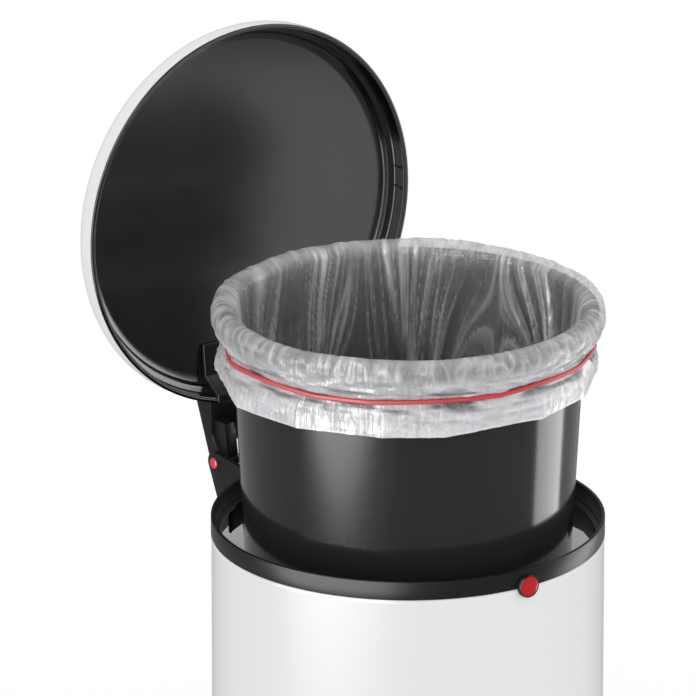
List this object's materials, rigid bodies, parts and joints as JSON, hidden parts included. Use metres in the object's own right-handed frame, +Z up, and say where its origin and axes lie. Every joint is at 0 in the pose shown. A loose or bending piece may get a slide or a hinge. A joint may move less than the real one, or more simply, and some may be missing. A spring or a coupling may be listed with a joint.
{
  "type": "pedal bin",
  "caption": "Round steel pedal bin with a hinged lid, foot pedal and push rod, and a lift-out bucket with a bag held by an elastic band.",
  "frame": {"origin": "centre of the base pan's flat underside, on the floor and on the body's own axis", "axes": "+Z up along the body's axis, -Y towards the pedal and the badge, +Y towards the hinge, +X to the right seen from the front"},
  "size_m": [0.3006, 0.4512, 0.9103],
  "materials": {
    "white_enamel": "semi-gloss white stoving enamel on steel",
    "black_plastic": "satin moulded plastic",
    "gloss_black_plastic": "glossy moulded polypropylene",
    "steel": "zinc-plated steel",
    "red_plastic": "moulded red plastic",
    "rubber": "matt rubber",
    "nylon": "natural nylon",
    "bag_film": "thin translucent polyethylene film",
    "elastic": "red elastic band"
  },
  "bodies": {
    "bin": {"base_pan": "black_plastic", "anti_slip_ring": "rubber", "body_shell": "white_enamel", "inner_floor": "steel", "top_ring": "black_plastic", "badge_bezel": "black_plastic", "badge_face": "red_plastic", "hinge_bracket": "black_plastic", "bracket_screw_left": "steel", "bracket_screw_right": "steel", "hinge_pin": "steel", "pin_cap_left": "red_plastic", "pin_cap_right": "red_plastic", "damper_housing": "black_plastic", "rod_cover": "white_enamel", "cover_screw_lower": "steel", "cover_screw_upper": "steel", "rod_guide_lower": "nylon", "rod_guide_upper": "nylon", "pedal_bearing_left": "nylon", "pedal_bearing_right": "nylon", "pedal_axle": "steel"},
    "lid": {"lid_shell": "white_enamel", "lid_liner": "black_plastic", "lid_arm": "black_plastic", "damper_rotor": "nylon", "lid_clamp_plate": "black_plastic", "clamp_screw_left": "steel", "clamp_screw_right": "steel"},
    "pedal": {"pedal_lever": "steel", "pedal_tread": "steel", "pedal_pad": "rubber"},
    "rod": {"rod_foot": "nylon", "push_rod": "steel", "rod_pusher": "nylon"},
    "tub": {"bucket": "gloss_black_plastic", "bin_bag": "bag_film", "elastic_band": "elastic"}
  },
  "joints": [
    {"name": "lid_hinge", "type": "hinge", "parent": "bin", "child": "lid", "pos_m": [0, 0.1912, 0.569], "axis": [1, 0, 0], "range_deg": [0, 90.9]},
    {"name": "pedal_pivot", "type": "hinge", "parent": "bin", "child": "pedal", "pos_m": [0, -0.06, 0.024], "axis": [1, 0, 0], "range_deg": [-8.81, 0]},
    {"name": "rod_slide", "type": "slide", "parent": "bin", "child": "rod", "axis": [0, 0, 1], "range_m": [-0.0342, 0]},
    {"name": "bucket_lift", "type": "slide", "parent": "bin", "child": "tub", "axis": [0, 0, 1], "range_m": [-0.1741, 0]}
  ],
  "couplings": [
    {"joint": "pedal_pivot", "follows": "lid_hinge", "ratio": -0.0968},
    {"joint": "rod_slide", "follows": "lid_hinge", "m_per_rad": -0.02155},
    {"joint": "bucket_lift", "follows": "lid_hinge", "m_per_rad": -0.10973}
  ]
}
